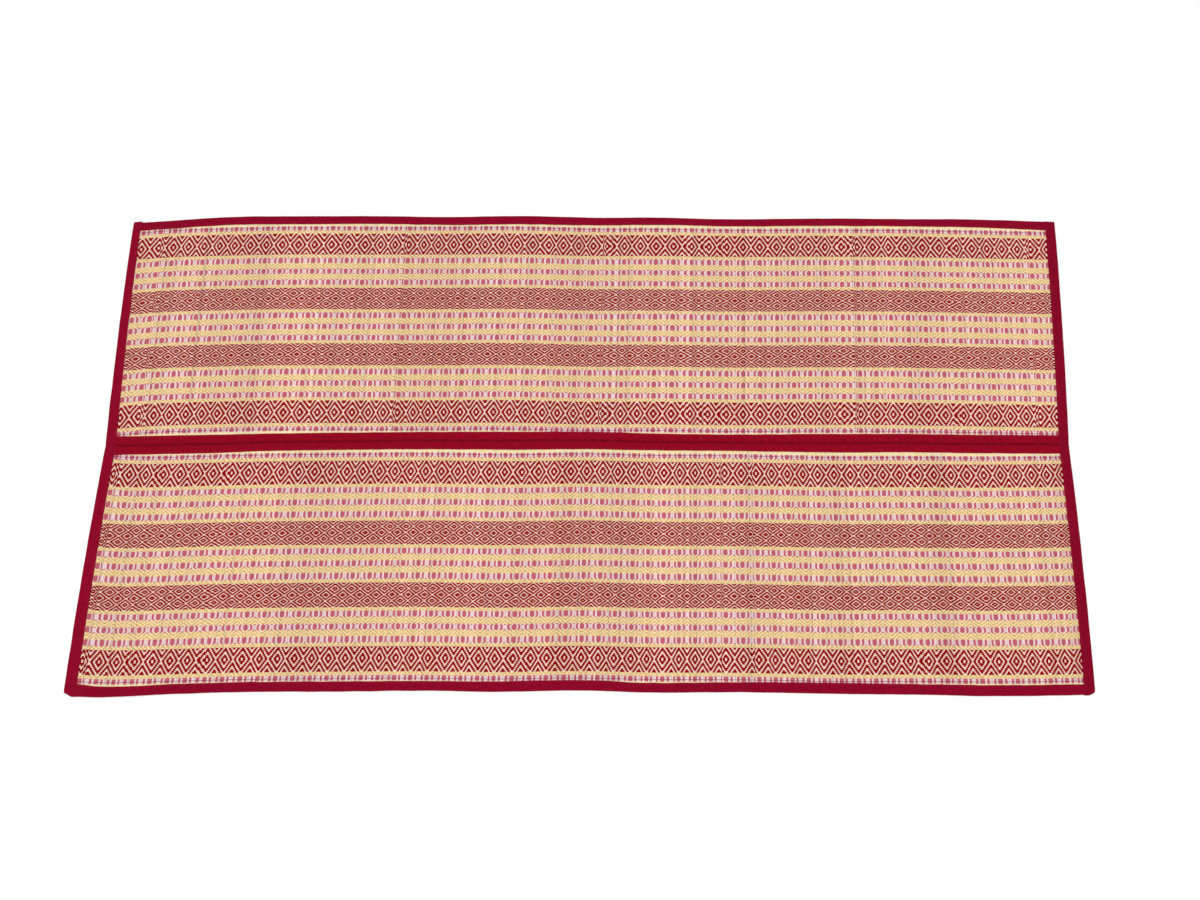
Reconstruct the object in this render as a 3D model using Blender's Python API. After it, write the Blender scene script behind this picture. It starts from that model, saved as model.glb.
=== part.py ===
"""A two-panel grass floor mat, laid out flat.

Two long woven panels lie side by side on the floor. Folded cloth strips bind
the long edges and the ends, and a wider strip joins the panels along the
crease on which the mat folds. Metres, +Z up, X along the mat, +Y towards the
far edge. The origin is on the floor under the middle of the mat.
"""

import math
from collections import namedtuple

import bmesh
import bpy

# Driving sizes of the mat, in metres.
MAT_LENGTH = 1.830
MAT_WIDTH = 0.915
SHEET = 0.0020
CLOTH = 0.0010
GAP = 0.0003

# Half of each, because every piece is built about the middle of the mat.
END = MAT_LENGTH / 2
SIDE = MAT_WIDTH / 2

# Cloth that closes a folded strip at its outer edge, and the seam under the crease.
EDGE_SEAM = 0.0010
FOLD_SEAM = 0.0012

# Height of a folded strip, and the groove that the crease leaves in it.
STRIP_HEIGHT = 2 * CLOTH + 2 * GAP + SHEET
SLOT_TOP = STRIP_HEIGHT - CLOTH
CREASE_DEPTH = 0.0010
CREASE_HALF = 0.0012

# The panels' rims climb onto the lower cloth of the strips.
RIM_LIFT = CLOTH + GAP
RIM_AT_SIDE = 0.0215
RIM_AT_END = 0.0245
RIM_SLOPE = 0.0160

# The ends are pulled in where the fold strip is sewn to them.
FOLD_DRAW_IN = 0.0095

# How finely the pieces follow the outline, and how near to a piece's own end
# a section may be.
LENGTH_STEPS = 34
STATION_CLEAR = 0.0080
HALF_END_STEPS = 9
PANEL_STEPS_ACROSS = 5
EDGE_ROUND_STEPS = 5

MM = 0.001

Station = namedtuple(
    "Station", "x far_edge far_cloth fold fold_cloth near_edge near_cloth"
)

# How the mat really lies, in millimetres: at each station along X, how far the
# long edges and the crease stand towards +Y of straight, and how wide the cloth
# shows there.
LIE = (
    Station(-915, -5.0, 17.0, -4.6, 35.4, 0.0, 17.4),
    Station(-840, -1.6, 17.0, -3.4, 35.3, -1.4, 17.4),
    Station(-720, 4.8, 17.2, -1.3, 34.8, 2.2, 17.2),
    Station(-600, 6.3, 17.3, 2.3, 33.5, 5.6, 17.1),
    Station(-420, 7.0, 17.0, 4.7, 32.7, 6.2, 17.4),
    Station(-300, 5.4, 17.5, 5.6, 33.1, 7.4, 16.8),
    Station(-150, 7.9, 18.2, 5.3, 34.0, 5.3, 17.9),
    Station(0, 4.4, 17.0, 5.8, 33.6, 7.5, 17.9),
    Station(120, 4.9, 16.1, 3.1, 32.2, 3.5, 16.8),
    Station(270, 1.5, 15.6, 1.5, 31.4, 4.1, 17.2),
    Station(450, 3.5, 16.3, 0.6, 35.2, 1.2, 18.5),
    Station(600, 2.6, 16.0, 0.9, 34.9, -0.8, 18.0),
    Station(750, 1.9, 16.2, -0.9, 34.9, -2.1, 18.6),
    Station(915, -1.2, 16.6, -1.8, 35.3, 0.4, 18.2),
)

EndStrip = namedtuple(
    "EndStrip", "name side far_cloth fold_cloth near_cloth far_tip near_tip cut cut_width"
)

# The end strips, in millimetres: how wide they show, how far their tips pass
# the long edges, and the slanting cut at the near corner.
END_STRIPS = (
    EndStrip("end_binding_left", -1, 15.6, 20.0, 21.6, 2.0, 0.2, 7.0, 14.5),
    EndStrip("end_binding_right", 1, 20.0, 19.2, 19.6, 0.4, 0.8, 6.5, 7.5),
)

# Colours as the photograph shows them, seen from a step away.
PANEL_COLOUR = (0.56, 0.27, 0.17, 1.0)
STRIP_COLOUR = (0.31, 0.0015, 0.018, 1.0)
PANEL_ROUGHNESS = 0.75
STRIP_ROUGHNESS = 0.85


def clear_scene():
    for thing in list(bpy.data.objects):
        bpy.data.objects.remove(thing, do_unlink=True)


def lie_at(x, column):
    """A column of the table at x, in metres, on a smooth curve through its rows."""
    at = min(max(x / MM, LIE[0].x), LIE[-1].x)
    index = max(i for i in range(len(LIE) - 1) if LIE[i].x <= at)
    low, high = LIE[index], LIE[index + 1]
    before, after = LIE[max(index - 1, 0)], LIE[min(index + 2, len(LIE) - 1)]
    value_low, value_high = getattr(low, column), getattr(high, column)
    slope_low = (value_high - getattr(before, column)) / (high.x - before.x)
    slope_high = (getattr(after, column) - value_low) / (after.x - low.x)
    span = high.x - low.x
    part = (at - low.x) / span
    square, cube = part ** 2, part ** 3
    value = (
        (2 * cube - 3 * square + 1) * value_low
        + (cube - 2 * square + part) * span * slope_low
        + (3 * square - 2 * cube) * value_high
        + (cube - square) * span * slope_high
    )
    return value * MM


def lay(x, y):
    """Where a point of the straight, square mat lies on the floor."""
    out = min(abs(y) / SIDE, 1.0)
    edge = "far_edge" if y > 0 else "near_edge"
    drawn = FOLD_DRAW_IN / END * (1 - out) ** 2
    shift = lie_at(x, "fold") * (1 - out) + lie_at(x, edge) * out
    return x * (1 - drawn), y + shift


def spaced(start, stop, steps):
    return [start + (stop - start) * i / steps for i in range(steps + 1)]


def stations_between(start, stop):
    """Sections along X from start to stop, at the same places in every piece."""
    inner = [
        x
        for x in spaced(-END, END, LENGTH_STEPS)
        if start + STATION_CLEAR < x < stop - STATION_CLEAR
    ]
    return [start] + inner + [stop]


def middle_of_outline():
    """Y half way between the farthest and the nearest point of the mat."""
    along = spaced(-END, END, LENGTH_STEPS)
    tips = [strip.side * END for strip in END_STRIPS]
    far = [lay(x, SIDE)[1] for x in along]
    far += [lay(x, SIDE)[1] + strip.far_tip * MM for x, strip in zip(tips, END_STRIPS)]
    near = [lay(x, -SIDE)[1] for x in along]
    near += [lay(x, -SIDE)[1] - strip.near_tip * MM for x, strip in zip(tips, END_STRIPS)]
    return (max(far) + min(near)) / 2


def end_cloth_width(strip, y):
    """How wide an end strip is at y: it changes evenly from the fold to each edge."""
    out = min(abs(y) / SIDE, 1.0)
    edge = strip.far_cloth if y > 0 else strip.near_cloth
    return (strip.fold_cloth * (1 - out) + edge * out) * MM


def between_end_strips(*ys):
    """Sections along X for a piece that fits between the end strips at every given y."""
    left, right = [
        END - GAP - max(end_cloth_width(strip, y) for y in ys) for strip in END_STRIPS
    ]
    return stations_between(-left, right)


def make_material(name, colour, roughness):
    material = bpy.data.materials.new(name)
    material.use_nodes = True
    material.diffuse_color = colour
    shader = material.node_tree.nodes["Principled BSDF"]
    shader.inputs["Base Color"].default_value = colour
    shader.inputs["Roughness"].default_value = roughness
    shader.inputs["Metallic"].default_value = 0.0
    return material


def add_piece(name, bm, colour, roughness):
    """Lay a straight piece on the floor and make it an object."""
    middle = middle_of_outline()
    for vert in bm.verts:
        x, y = lay(vert.co.x, vert.co.y)
        vert.co.x, vert.co.y = x, y - middle
    bmesh.ops.recalc_face_normals(bm, faces=bm.faces)
    mesh = bpy.data.meshes.new(name)
    bm.to_mesh(mesh)
    bm.free()
    mesh.materials.append(make_material(name, colour, roughness))
    bpy.context.scene.collection.objects.link(bpy.data.objects.new(name, mesh))


def add_ring(bm, points):
    """The points of one section, joined into a closed ring."""
    verts = [bm.verts.new(point) for point in points]
    pairs = zip(verts, verts[1:] + verts[:1])
    return verts, [bm.edges.new(pair) for pair in pairs]


def skin(bm, sections):
    """Skin a row of equal sections, and leave both ends open."""
    rings = [add_ring(bm, section) for section in sections]
    for (_, edges), (_, next_edges) in zip(rings, rings[1:]):
        bmesh.ops.bridge_loops(bm, edges=edges + next_edges)
    return rings[0][0], rings[-1][0]


def folded_section(width, shoulder):
    """A strip folded round an edge, as pairs of distance in from its fold and height.

    The points run round the outer fold, along the top to the slot, and back
    along the underside. The shoulders are where a corner may be cut.
    """
    radius = STRIP_HEIGHT / 2
    turns = [math.pi * i / EDGE_ROUND_STEPS for i in range(EDGE_ROUND_STEPS + 1)]
    outer = [(radius * (1 - math.sin(a)), radius * (1 - math.cos(a))) for a in turns]
    top = [(shoulder, STRIP_HEIGHT), (width, STRIP_HEIGHT)]
    slot = [(width, SLOT_TOP), (EDGE_SEAM, SLOT_TOP), (EDGE_SEAM, CLOTH), (width, CLOTH)]
    under = [(width, 0.0), (shoulder, 0.0)]
    return outer + top + slot + under


def build_edge_binding(name, side, edge_cloth):
    """Strip folded round a long edge, from one end strip to the other."""
    widest = max(getattr(station, edge_cloth) for station in LIE) * MM
    sections = []
    for x in between_end_strips(side * SIDE, side * (SIDE - widest)):
        width = lie_at(x, edge_cloth)
        section = folded_section(width, width / 2)
        sections.append([(x, side * (SIDE - inward), z) for inward, z in section])
    bm = bmesh.new()
    for ring in skin(bm, sections):
        bm.faces.new(ring)
    add_piece(name, bm, STRIP_COLOUR, STRIP_ROUGHNESS)


def fold_section(width):
    """The fold strip: cloth over and under both panels, sewn down along the crease."""
    half = width / 2
    far_half = [
        (half, 0.0),
        (half, CLOTH),
        (FOLD_SEAM, CLOTH),
        (FOLD_SEAM, SLOT_TOP),
        (half, SLOT_TOP),
        (half, STRIP_HEIGHT),
        (CREASE_HALF, STRIP_HEIGHT),
    ]
    near_half = [(-y, z) for y, z in reversed(far_half)]
    return far_half + [(0.0, STRIP_HEIGHT - CREASE_DEPTH)] + near_half + [(0.0, 0.0)]


def build_fold_strip():
    widest = max(station.fold_cloth for station in LIE) * MM
    sections = []
    for x in between_end_strips(-widest / 2, 0.0, widest / 2):
        section = fold_section(lie_at(x, "fold_cloth"))
        sections.append([(x, y, z) for y, z in section])
    bm = bmesh.new()
    for ring in skin(bm, sections):
        bm.faces.new(ring)
    add_piece("fold_hinge_strip", bm, STRIP_COLOUR, STRIP_ROUGHNESS)


def close_tip(bm, strip, ring, y_edge, tip, cut):
    """Close one end of a folded end strip past its slot, with the corner cut aslant."""
    slot_start = EDGE_ROUND_STEPS + 3
    slot_stop = slot_start + 4
    shoulder = EDGE_ROUND_STEPS + 1
    bm.faces.new(ring[slot_start:slot_stop])
    outer = ring[:slot_start + 1] + ring[slot_stop - 1:]
    outer_edges = [bm.edges.get(pair) for pair in zip(outer, outer[1:] + outer[:1])]
    outward = math.copysign(1.0, y_edge)
    points = []
    for vert in outer:
        kept = min((END - abs(vert.co.x)) / (strip.cut_width * MM), 1.0)
        past_edge = tip - cut * (1 - kept)
        points.append((vert.co.x, y_edge + outward * past_edge, vert.co.z))
    tip_verts, tip_edges = add_ring(bm, points)
    bmesh.ops.bridge_loops(bm, edges=outer_edges + tip_edges)
    bm.faces.new(tip_verts[:shoulder + 1] + tip_verts[-1:])
    bm.faces.new(tip_verts[shoulder:])


def end_section(strip, y, slant):
    """One section of an end strip. Slant leans it back towards the mat's corner cut."""
    width = end_cloth_width(strip, y)
    crushed = (STRIP_HEIGHT - CREASE_DEPTH) / STRIP_HEIGHT if y == 0.0 else 1.0
    towards_fold = -math.copysign(1.0, y)
    points = []
    for inward, z in folded_section(width, strip.cut_width * MM):
        lean = towards_fold * slant * (1 - inward / width)
        points.append((strip.side * (END - inward), y + lean, z * crushed))
    return points


def build_end_binding(strip):
    """Strip folded round both panels' ends, creased with them at the fold."""
    slot_end = SIDE - EDGE_SEAM
    near_half = spaced(-slot_end, -CREASE_HALF, HALF_END_STEPS)
    far_half = spaced(CREASE_HALF, slot_end, HALF_END_STEPS)
    stations = near_half + [0.0] + far_half
    cut = strip.cut * MM
    slants = [cut] + [0.0] * (len(stations) - 1)
    sections = [end_section(strip, y, slant) for y, slant in zip(stations, slants)]
    bm = bmesh.new()
    near_ring, far_ring = skin(bm, sections)
    close_tip(bm, strip, near_ring, -SIDE, strip.near_tip * MM, cut)
    close_tip(bm, strip, far_ring, SIDE, strip.far_tip * MM, 0.0)
    add_piece(strip.name, bm, STRIP_COLOUR, STRIP_ROUGHNESS)


def cut_panel_corner(strip, edge):
    """Where the near corner of a panel goes, so that it fits in the cut end strip."""
    width = strip.near_cloth * MM
    inward = width / 4
    back = EDGE_SEAM + strip.cut * MM * (1 - inward / width) + 2 * GAP
    return strip.side * (END - inward), edge + back


def on_rim(index, count):
    """Whether a grid line is one of the outer two on either side."""
    return index < 2 or index > count - 3


def build_panel(name, side):
    """One woven sheet, flat on the floor but for its rims, which climb onto the strips."""
    x_end = END - EDGE_SEAM - GAP
    x_rim = END - RIM_AT_END
    x_flat = x_rim - RIM_SLOPE
    xs = [-x_end, -x_rim] + stations_between(-x_flat, x_flat) + [x_rim, x_end]
    y_fold, y_edge = FOLD_SEAM + GAP, SIDE - EDGE_SEAM - GAP
    y_low, y_high = RIM_AT_SIDE, SIDE - RIM_AT_SIDE
    flat = spaced(y_low + RIM_SLOPE, y_high - RIM_SLOPE, PANEL_STEPS_ACROSS)
    ys = [y_fold, y_low] + flat + [y_high, y_edge]
    bm = bmesh.new()
    bmesh.ops.create_grid(bm, x_segments=len(xs) - 1, y_segments=len(ys) - 1, size=0.5)
    for vert in bm.verts:
        column = round((vert.co.x + 0.5) * (len(xs) - 1))
        row = round((vert.co.y + 0.5) * (len(ys) - 1))
        lifted = on_rim(column, len(xs)) or on_rim(row, len(ys))
        vert.co = (xs[column], side * ys[row], RIM_LIFT if lifted else 0.0)
        if side < 0 and row == len(ys) - 1 and column in (0, len(xs) - 1):
            strip = END_STRIPS[0] if column == 0 else END_STRIPS[1]
            vert.co.x, vert.co.y = cut_panel_corner(strip, -SIDE)
    top = bmesh.ops.extrude_face_region(bm, geom=bm.faces[:], use_keep_orig=True)
    top_verts = [item for item in top["geom"] if isinstance(item, bmesh.types.BMVert)]
    bmesh.ops.translate(bm, verts=top_verts, vec=(0.0, 0.0, SHEET))
    add_piece(name, bm, PANEL_COLOUR, PANEL_ROUGHNESS)


def main():
    clear_scene()
    build_panel("woven_panel_far", 1)
    build_panel("woven_panel_near", -1)
    build_edge_binding("edge_binding_far", 1, "far_cloth")
    build_edge_binding("edge_binding_near", -1, "near_cloth")
    build_fold_strip()
    for strip in END_STRIPS:
        build_end_binding(strip)


main()
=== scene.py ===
"""The look of a two-panel woven grass floor mat, laid out flat.

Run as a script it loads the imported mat, weaves both panels stem by stem, sews the
cloth strips round them and sets up a plain stage. Metres, +Z up, X along the mat.
"""

import math
import random
from collections import namedtuple
from functools import partialmethod

import bmesh
import bpy
import numpy as np
from mathutils import Matrix, Vector, noise


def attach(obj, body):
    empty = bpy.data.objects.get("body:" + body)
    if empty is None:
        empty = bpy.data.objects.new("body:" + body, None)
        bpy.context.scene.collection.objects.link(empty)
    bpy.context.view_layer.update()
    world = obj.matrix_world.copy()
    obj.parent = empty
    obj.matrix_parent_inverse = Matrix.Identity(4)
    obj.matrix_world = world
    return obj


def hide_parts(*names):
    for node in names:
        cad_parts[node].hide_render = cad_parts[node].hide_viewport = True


bl_info = {
    "name": "Woven Grass Floor Mat",
    "version": (1, 0, 0),
    "blender": (4, 5, 0),
    "location": "3D View > Sidebar > Grass Mat",
    "description": "Weaves and sews a folding grass floor mat on its packed solids",
    "category": "Add Mesh",
}

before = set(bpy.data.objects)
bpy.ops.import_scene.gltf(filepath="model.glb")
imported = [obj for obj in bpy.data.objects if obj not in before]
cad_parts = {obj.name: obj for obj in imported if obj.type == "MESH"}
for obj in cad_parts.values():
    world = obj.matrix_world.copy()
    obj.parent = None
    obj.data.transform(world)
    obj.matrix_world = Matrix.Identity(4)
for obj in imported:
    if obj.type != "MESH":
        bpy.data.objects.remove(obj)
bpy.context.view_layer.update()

MM = 0.001

# The straight mat before it is laid down, and how far its outline's middle
# stands from its own middle once it lies as it does.
END = 0.915
SIDE = 0.4575
MIDDLE = 0.0029
PANEL_INSET = 0.0014

# The ends are pulled in where the fold strip is sewn to them.
FOLD_DRAW_IN = 0.0095

Station = namedtuple(
    "Station",
    "x far_edge far_cloth far_rows far_repeat fold fold_cloth"
    " near_rows near_repeat near_edge near_cloth",
)

# How the mat lies, in millimetres, at stations along X: how far the long edges,
# the crease and each panel's rows stand towards +Y of straight, how wide the cloth
# shows, and how many repeats of the diamond have been woven since the left end.
LIE = (
    Station(-915, -9.0, 18.4, -13.4, -0.73, -4.6, 35.4, -3.8, -0.68, -1.5, 24.0),
    Station(-840, -3.7, 17.6, -6.7, 1.69, -3.4, 35.3, -7.0, 1.66, -2.9, 17.8),
    Station(-720, 4.8, 17.2, -2.5, 5.66, -1.3, 34.8, -4.5, 5.47, 2.2, 17.2),
    Station(-600, 6.3, 17.3, 0.0, 9.54, 2.3, 33.5, -1.8, 9.23, 5.6, 17.1),
    Station(-420, 7.0, 17.0, 0.1, 15.12, 4.7, 32.7, -0.3, 15.10, 6.2, 17.4),
    Station(-300, 5.4, 17.5, 0.4, 19.32, 5.6, 33.1, 0.1, 19.16, 7.4, 16.8),
    Station(-150, 7.9, 18.2, 0.9, 24.11, 5.3, 34.0, -1.5, 24.19, 5.3, 17.9),
    Station(0, 4.4, 17.0, -2.2, 29.08, 5.8, 33.6, 0.1, 29.08, 7.5, 17.9),
    Station(120, 4.9, 16.1, -2.0, 32.96, 3.1, 32.2, -2.6, 33.16, 3.5, 16.8),
    Station(270, 1.5, 15.6, -3.8, 37.32, 1.5, 31.4, -3.3, 38.38, 4.1, 17.2),
    Station(450, 3.5, 16.3, -3.1, 42.86, 0.6, 35.2, -6.6, 44.52, 1.2, 18.5),
    Station(600, 2.6, 16.0, -3.8, 47.58, 0.9, 34.9, -6.8, 49.38, -0.8, 18.0),
    Station(750, 1.9, 17.4, -6.2, 52.15, -0.9, 34.9, -7.8, 54.08, -3.4, 18.6),
    Station(915, -3.4, 19.0, -9.2, 57.73, -1.8, 35.3, -6.3, 59.63, -1.2, 18.2),
)

EndStrip = namedtuple(
    "EndStrip", "name side far_cloth fold_cloth near_cloth far_tip near_tip cut cut_width dye"
)

# The end strips, in millimetres: how wide they show, how far their tips pass the
# long edges, the slanting cut at the near corner, and, as dye, how much lighter or darker
# their crimson is painted: painted sheen on the left strip, painted shade on the right.
END_STRIPS = (
    EndStrip("end_binding_left", -1, 15.6, 20.0, 21.6, 2.0, 0.2, 7.0, 14.5, 1.06),
    EndStrip("end_binding_right", 1, 20.0, 19.2, 19.6, 0.4, 0.8, 6.5, 7.5, 0.90),
)

# How far along the end the slanting cut reaches.
CUT_REACH = 0.012

Panel = namedtuple("Panel", "name side rows repeat edge first_row row_scale seed")

# First row: how far the thin yellow row nearest the fold is from the mat's middle.
PANELS = (
    Panel("woven_panel_far", 1, "far_rows", "far_repeat", "far_edge", 0.0366, 1.0030, 3),
    Panel("woven_panel_near", -1, "near_rows", "near_repeat", "near_edge", 0.02925, 0.9962, 8),
)

# The rows of the weaving, in millimetres. Groups of rows repeat each way from the
# middle of a panel: a dash row in the middle, then chevrons, dashes and a thin
# yellow row, and a band of diamonds out to half the repeat.
ROWS_SPAN = 391.6
GROUP_REPEAT = 113.8
MIDDLE_DASH_HALF = 5.5
CHEVRON_END = 17.2
DASH_END = 28.45
THIN_END = 34.75
WARP_END = 1.45
LARGE_STEP = 2.9
LARGE_MIDDLE_SHIFT = 1.2
SMALL_STEPS = 7.75
TWILL_STEP = 1.55
TWILL_START = 0.27
SELVEDGE_FROM = 208.6
DARK_WARP_AT = 204.9
DARK_WARP_HALF = 0.55
TREADLES = 7
LARGE_SWELL = 0.1
SMALL_SWELL = 0.2

# Two of four shafts show cotton. Past its reach into the gap beside a stem, the next
# stem's cotton shows as well.
SHAFTS = 4.0
COTTON_FROM = 0.5
COTTON_TO = 2.5
PLAIN_REACH = 0.97
BAND_REACH = 0.6

# How much painted shade darkens the dips between two stems.
GAP_SHADE = 0.40

# How far the warp slips along one stem against the next.
STEM_SLIP = 0.00035

# How far the treadling's turns slip, how often one is missed and by how much, in
# repeats, when the count of stems changes, and how far a stem lies aside, in pitches.
TURN_SLIP = 0.025
MISS_CHANCE = 0.03
MISSED = 0.15
COUNT_SLACK = 1.4
STEM_ASIDE = 0.12

# How ripe the stems are, as mean and spread, and how bright they are.
RIPENESS = (0.42, 0.26)
DULL_CHANCE = 0.03
DULL_STEM = (0.74, 0.86)
BRIGHT_STEM = (0.93, 1.05)

# From one thread to the next, and the stems' ribs that are felt through the cloth.
YARN_PITCH = 0.0008
THREAD_PITCH = 0.0005
RIB_PITCH = 0.00223
RIB_DRIFT = 0.004

# Uneven dye and threads: grains in a metre along and across, and their detail.
STREAK_GRAIN = (2600.0, 60.0, 3.0)
DYE_GRAIN = (430.0, 190.0, 1.0)
MOTTLE_GRAIN = (90.0, 150.0, 4.0)
SLUB_GRAIN = (240.0, 1500.0, 2.0)

# How far the dye drifts from one place to the next, as shares of red, green and blue.
DYE_WARM = (1.05, 1.00, 0.86)
DYE_COOL = (0.95, 0.99, 1.16)

# The rims keep clear of the crease, rise onto the strips, and are thin at the corners.
FOLD_CLEAR = 0.0016
RIM_AT_END = 0.041
RIM_AT_SIDE = 0.038
RIM_RISE = 0.016
PINCH_AT_END = 0.022
PINCH_AT_SIDE = 0.008
PINCH_RISE = 0.004
PINCH = 0.38

# The strips' sections: air between layers, the hem's rounded rim, the seam's groove,
# the cloth's sag as a share of its thickness, and from where it stands up.
LAYER_GAP = 0.00005
HEM_ROUND = 0.0010
HEM_TURN = 0.0003
SEAM_HALF = 0.0006
SEAM_LIP = 0.00002
SEAM_DEPTH = 0.00016
SAG = 0.85
PUFF_FROM = 0.004

# The long strips are tucked under the end strips, and their seams stop short of them.
TUCKED = 0.0022
SEAM_CLEAR = 0.001
LONG_STEPS = 420
UNDER_STEPS = 120

# Where the end strips are pressed flat, at their tips and at the fold, and the painted shade
# along the fold's crease across them.
TIP_PRESS = 0.32
TIP_REACH = 0.006
END_PRESS = 0.22
END_CREASE = 0.0021
END_CREASE_SHADE = 0.10
END_SHADE_WIDTH = 0.0016

# The fold strip's crease: its width and depth, and how much painted shade darkens it beside and in
# it.
FOLD_CREASE = 0.0024
CREASE_DEPTH = 0.00130
FOLD_SHADE = 0.36
CREASE_SHADE = 0.38

# How far the stitches are turned from their seam, and how their spacing varies.
STITCH_ASLANT = 0.07
STITCH_SPACING = (0.94, 1.06)


def lie_at(x, column):
    """A column of the table at x, in metres, on a smooth curve through its rows."""
    at = min(max(x / MM, LIE[0].x), LIE[-1].x)
    index = max(i for i in range(len(LIE) - 1) if LIE[i].x <= at)
    low, high = LIE[index], LIE[index + 1]
    before, after = LIE[max(index - 1, 0)], LIE[min(index + 2, len(LIE) - 1)]
    value_low, value_high = getattr(low, column), getattr(high, column)
    slope_low = (value_high - getattr(before, column)) / (high.x - before.x)
    slope_high = (getattr(after, column) - value_low) / (after.x - low.x)
    span = high.x - low.x
    part = (at - low.x) / span
    square, cube = part**2, part**3
    return (
        (2 * cube - 3 * square + 1) * value_low
        + (cube - 2 * square + part) * span * slope_low
        + (3 * square - 2 * cube) * value_high
        + (cube - square) * span * slope_high
    )


def draw_in(y):
    """What part of its length the mat loses at y, towards the fold."""
    out = min(abs(y) / SIDE, 1.0)
    return FOLD_DRAW_IN / END * (1 - out) ** 2


def lay(x, y):
    """Where a point of the straight, square mat lies on the floor."""
    out = min(abs(y) / SIDE, 1.0)
    edge = "far_edge" if y > 0 else "near_edge"
    shift = (lie_at(x, "fold") * (1 - out) + lie_at(x, edge) * out) * MM
    return x * (1 - draw_in(y)), y + shift - MIDDLE


def end_cloth_width(strip, y):
    """How wide an end strip is at y: it changes evenly from the fold to each edge."""
    out = min(abs(y) / SIDE, 1.0)
    edge = strip.far_cloth if y > 0 else strip.near_cloth
    return (strip.fold_cloth * (1 - out) + edge * out) * MM


def between_ends(y, clear):
    """Where a lengthwise strip or seam at y starts and stops, so far clear of the end strips."""
    left, right = END_STRIPS
    return -END + end_cloth_width(left, y) + clear, END - end_cloth_width(right, y) - clear


def strip_tips(strip):
    """Where the near and the far tip of an end strip are."""
    return -SIDE - strip.near_tip * MM, SIDE + strip.far_tip * MM


def corner_cut(strip, inward, y):
    """How far the slanting cut at a strip's near corner draws its cloth in."""
    near, _ = strip_tips(strip)
    if y > near + CUT_REACH:
        return 0.0
    whole = strip.cut * MM * ease(1 - (y - near) / CUT_REACH)
    return whole * max(1 - inward / (strip.cut_width * MM), 0.0)


def spaced(start, stop, steps):
    """Evenly spaced places from start to stop, both counted in."""
    return [start + (stop - start) * i / steps for i in range(steps + 1)]


def ease(part):
    """A soft step from 0 to 1."""
    part = min(max(part, 0.0), 1.0)
    return part * part * (3 - 2 * part)


def bell(at, width):
    """1 at the crease, and next to nothing two widths away from it."""
    return math.exp(-((at / width) ** 2))


def wander(along, seed, size, length):
    """A smooth uneven line, up to about its size either way, one turn in every length."""
    return noise.noise(Vector((along / length, seed * 7.31, 0.5))) * 1.6 * size


def seen(red, green, blue):
    """A colour as it looks on a screen, 0 to 255, made linear."""
    shares = [value / 255 for value in (red, green, blue)]
    return tuple(((s + 0.055) / 1.055) ** 2.4 if s > 0.04045 else s / 12.92 for s in shares)


def colour_property(name, description, colour):
    return bpy.props.FloatVectorProperty(
        name=name, description=description, subtype="COLOR", size=3, min=0, max=1, default=colour
    )


def number_property(name, description, value, **limits):
    return bpy.props.FloatProperty(name=name, description=description, default=value, **limits)


def length_property(name, description, metres):
    return number_property(name, description, metres, min=0, unit="LENGTH", precision=5)


def vector_property(name, description, value, subtype, unit):
    return bpy.props.FloatVectorProperty(
        name=name, description=description, default=value, subtype=subtype, unit=unit
    )


class GrassMatWeave(bpy.types.PropertyGroup):
    stem_pitch: length_property("Stem pitch", "Distance from one grass stem to the next", 0.00195)
    thickness: length_property("Thickness", "How thick the woven sheet is at a stem", 0.0021)
    stem_groove: length_property("Groove", "How deep the cloth dips between stems", 0.00028)
    rim_lift: length_property("Rim lift", "How high the rims lie on the strips", 0.0010)
    red: colour_property("Red cotton", "Warp of the diamond bands", seen(142, 0, 6))
    rose: colour_property("Rose cotton", "Warp of the dash rows", seen(190, 93, 105))
    yellow: colour_property("Yellow cotton", "Warp of the chevron rows", seen(246, 217, 158))
    selvedge: colour_property("Selvedge cotton", "Warp of the woven edge", seen(240, 215, 150))
    dark: colour_property("Dark cotton", "Odd warp beside the selvedge", seen(96, 24, 62))
    stem_pale: colour_property("Pale stem", "Freshest grass stems", seen(250, 240, 228))
    stem_tan: colour_property("Tan stem", "Ripest grass stems", seen(222, 204, 178))
    stem_in_red: colour_property("Stems in red", "Dye on stems in the bands", seen(255, 230, 228))
    stem_in_rose: colour_property("Stems in rose", "Dye on stems in dash rows", seen(243, 224, 240))
    stem_in_yellow: colour_property("Stems in yellow", "Dye in yellow rows", seen(224, 200, 158))


class GrassMatCloth(bpy.types.PropertyGroup):
    thickness: length_property("Cloth thickness", "One layer of the cotton cloth", 0.00045)
    height: length_property("Strip height", "Height of a folded strip over the floor", 0.0041)
    hem: length_property("Hem", "Width of cloth turned under at an edge", 0.0060)
    stitch_length: length_property("Stitch length", "Thread that shows in one stitch", 0.0029)
    stitch_pitch: length_property("Stitch pitch", "From one stitch to the next", 0.0038)
    stitch_inset: length_property("Stitch inset", "From the hem's fold to the seam", 0.0023)
    thread: length_property("Thread", "Thickness of the sewing thread", 0.00042)
    crimson: colour_property("Crimson cloth", "Cloth of the bindings", seen(129, 0, 33))
    fold_crimson: colour_property("Fold cloth", "Cloth of the fold strip", seen(134, 0, 26))
    thread_colour: colour_property("Sewing thread", "Thread of the seams", seen(172, 34, 66))


class GrassMatStage(bpy.types.PropertyGroup):
    lens: number_property("Lens", "Focal length in millimetres", 27.857, min=10, max=200)
    shift: number_property("Shift", "How far the lens is shifted sideways", -0.101)
    place: vector_property(
        "Place", "Where the camera stands", (0.2386, -0.3986, 1.7064), "TRANSLATION", "LENGTH"
    )
    turn: vector_property(
        "Turn", "How the camera is turned", (0.22134, -0.00593, -0.00119), "EULER", "ROTATION"
    )
    floor: colour_property("Floor", "Pale floor under the mat", (0.97, 0.97, 0.97))
    sky: number_property("Sky", "Strength of the even light all round", 0.87, min=0)
    lamp: number_property("Lamp", "Strength of the large soft lamp", 38.0, min=0)


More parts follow.
